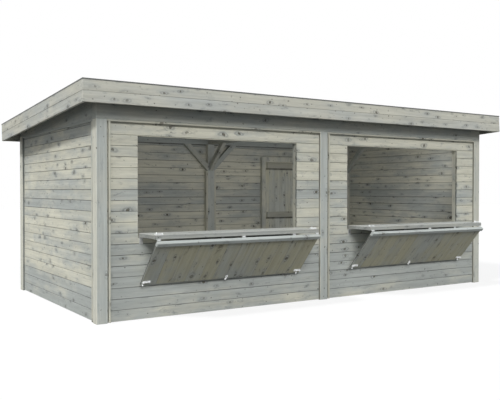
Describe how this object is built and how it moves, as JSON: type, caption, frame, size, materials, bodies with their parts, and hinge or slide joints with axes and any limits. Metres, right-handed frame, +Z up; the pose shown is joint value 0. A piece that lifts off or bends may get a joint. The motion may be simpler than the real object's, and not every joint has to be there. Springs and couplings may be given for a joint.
{
  "type": "wooden market stall",
  "caption": "Long wooden market stall with a pent roof, fold-out serving counters along the front and a boarded door at the back.",
  "frame": {"origin": "on the ground, under the centre of the plan outline with the counters folded out", "axes": "+X along the front, to the right of someone facing the counters; +Y from the front to the back; +Z up"},
  "size_m": [6.42, 3.6102, 2.4989],
  "materials": {
    "post": "weathered grey planed softwood",
    "beam": "weathered grey planed softwood",
    "board": "weathered grey-green impregnated boards",
    "trim": "pale weathered softwood",
    "leaf": "weathered planed boards",
    "deck": "shaded softwood boards",
    "covering": "dark grey roofing sheet",
    "edge_metal": "dark grey coated sheet",
    "steel": "galvanised"
  },
  "bodies": {
    "stall": {"front_left_post": "post", "front_middle_post": "post", "front_right_post": "post", "back_left_post": "post", "back_middle_post": "post", "back_right_post": "post", "front_beam": "beam", "back_beam": "beam", "left_beam": "beam", "right_beam": "beam", "middle_beam": "beam", "back_beam_braces": "beam", "cross_braces": "beam", "rafters": "beam", "roof_deck": "deck", "roof_covering": "covering", "roof_trim": "edge_metal", "front_fascia": "trim", "back_fascia": "trim", "left_fascia": "trim", "right_fascia": "trim", "left_wall": "board", "right_wall": "board", "back_wall": "board", "door_side_walls": "board", "door_over_wall": "board", "hatch_apron_walls": "board", "hatch_side_walls": "board", "hatch_over_walls": "board", "front_battens": "trim", "back_battens": "trim", "left_battens": "trim", "right_battens": "trim", "hatch_studs": "beam", "hatch_rails": "beam", "hatch_sill_hinges": "steel", "door_frame": "beam", "door_stops": "beam", "door_hinge_plates": "steel"},
    "left_counter": {"left_counter": "leaf", "left_counter_hardware": "steel"},
    "left_flap": {"left_flap": "leaf", "left_flap_rail": "trim", "left_flap_hardware": "steel"},
    "right_counter": {"right_counter": "leaf", "right_counter_hardware": "steel"},
    "right_flap": {"right_flap": "leaf", "right_flap_rail": "trim", "right_flap_hardware": "steel"},
    "door": {"door_leaf": "leaf", "door_ledges": "leaf", "door_straps": "steel", "door_handle": "steel"}
  },
  "joints": [
    {"name": "left_sill_hinge", "type": "hinge", "parent": "stall", "child": "left_counter", "pos_m": [-1.47, -1.32869, 0.877], "axis": [-1, 0, 0], "range_deg": [0, 90]},
    {"name": "left_fold_hinge", "type": "hinge", "parent": "left_counter", "child": "left_flap", "pos_m": [-1.47, -1.7686, 0.877], "axis": [-1, 0, 0], "range_deg": [0, 131]},
    {"name": "right_sill_hinge", "type": "hinge", "parent": "stall", "child": "right_counter", "pos_m": [1.47, -1.32869, 0.877], "axis": [-1, 0, 0], "range_deg": [0, 90]},
    {"name": "right_fold_hinge", "type": "hinge", "parent": "right_counter", "child": "right_flap", "pos_m": [1.47, -1.7686, 0.877], "axis": [-1, 0, 0], "range_deg": [0, 131]},
    {"name": "door_hinge", "type": "hinge", "parent": "stall", "child": "door", "pos_m": [1.065, 1.62731, 0.94], "axis": [0, 0, 1], "range_deg": [0, 110]}
  ]
}
